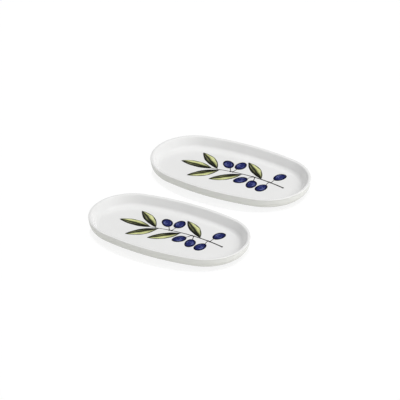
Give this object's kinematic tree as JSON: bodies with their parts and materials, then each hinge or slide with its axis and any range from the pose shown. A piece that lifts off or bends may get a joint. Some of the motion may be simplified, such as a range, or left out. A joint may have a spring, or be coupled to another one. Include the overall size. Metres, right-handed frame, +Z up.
{
  "type": "olive dish",
  "caption": "Shallow oval olive dishes in white glazed ceramic, side by side, each with a rounded wall and lip, foot ring and an olive spray printed in the well.",
  "frame": {"origin": "on the table, midway between the two dishes", "axes": "+Z up, +X along the length of each dish, +Y from the front dish to the rear dish"},
  "size_m": [0.18, 0.239, 0.014],
  "materials": {
    "biscuit": "bare fired clay, matt and slightly grainy, seen only on the foot ring",
    "white_glaze": "glossy white glaze with a faint orange peel",
    "bark_ink": "dark grey-brown ceramic print under a gloss",
    "leaf_dark_ink": "near-black green ceramic print under a gloss",
    "leaf_light_ink": "yellow-green ceramic print under a gloss",
    "olive_ink": "navy blue ceramic print under a gloss",
    "olive_light_ink": "light blue ceramic print under a gloss"
  },
  "bodies": {
    "front_dish": {"front_dish_body": "biscuit", "front_dish_glaze": "white_glaze", "front_twig_print": "bark_ink", "front_leaf_print": "leaf_dark_ink", "front_leaf_light_print": "leaf_light_ink", "front_olive_print": "olive_ink", "front_olive_light_print": "olive_light_ink"},
    "rear_dish": {"rear_dish_body": "biscuit", "rear_dish_glaze": "white_glaze", "rear_twig_print": "bark_ink", "rear_leaf_print": "leaf_dark_ink", "rear_leaf_light_print": "leaf_light_ink", "rear_olive_print": "olive_ink", "rear_olive_light_print": "olive_light_ink"}
  },
  "joints": [
    {"name": "rear_dish_lift", "type": "slide", "parent": "front_dish", "child": "rear_dish", "axis": [0, 0, 1], "range_m": [0, 0.1]}
  ]
}
